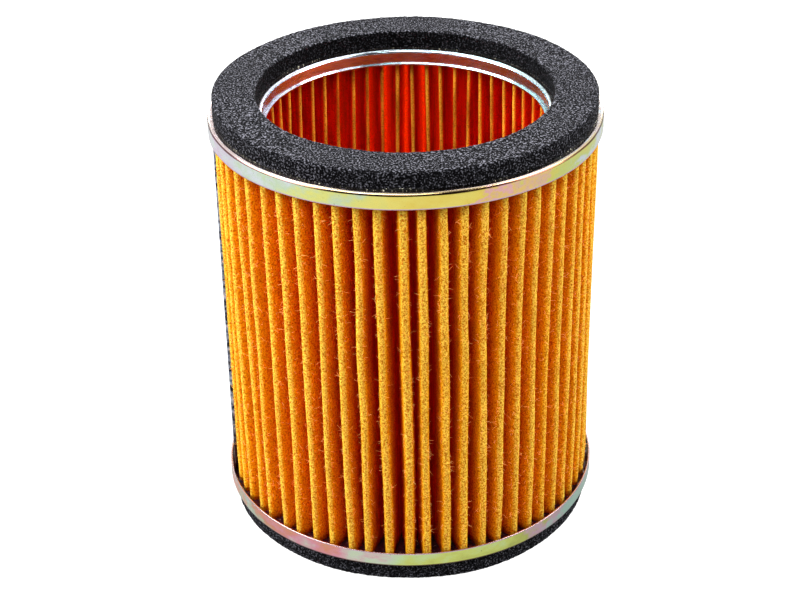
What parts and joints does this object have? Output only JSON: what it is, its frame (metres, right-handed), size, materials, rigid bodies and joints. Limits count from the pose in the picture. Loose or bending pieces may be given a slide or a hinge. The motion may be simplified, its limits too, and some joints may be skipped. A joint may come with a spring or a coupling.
{
  "type": "air filter element",
  "caption": "Cylindrical pleated-paper air filter element with plated steel end caps, a foam ring gasket on each end and an open bore.",
  "frame": {"origin": "on the axis, at the lower sealing face of the foam", "axes": "+Z along the axis towards the upper gasket, -Y towards the side that faces the viewer, seam clip on the -X side"},
  "size_m": [0.104, 0.104, 0.122],
  "materials": {
    "gasket_foam": "closed-cell sponge, charcoal, matte, with fine open pores on the cut faces",
    "gasket_glue": "thin contact adhesive, dusty olive grey",
    "plated_steel": "bright zinc plate, yellow passivated, with green, gold and pink interference tints",
    "potting_resin": "cast adhesive, dark maroon brown, wet-looking, slightly wavy surface",
    "filter_paper": "resin-treated orange filter paper, fibrous, matte, translucent where light passes through",
    "clip_steel": "plain tinned strip, blue grey"
  },
  "bodies": {
    "root": {"top_gasket": "gasket_foam", "top_gasket_adhesive": "gasket_glue", "top_end_cap": "plated_steel", "top_potting": "potting_resin", "pleated_paper": "filter_paper", "seam_clip": "clip_steel", "bottom_potting": "potting_resin", "bottom_end_cap": "plated_steel", "bottom_gasket_adhesive": "gasket_glue", "bottom_gasket": "gasket_foam"}
  },
  "joints": []
}
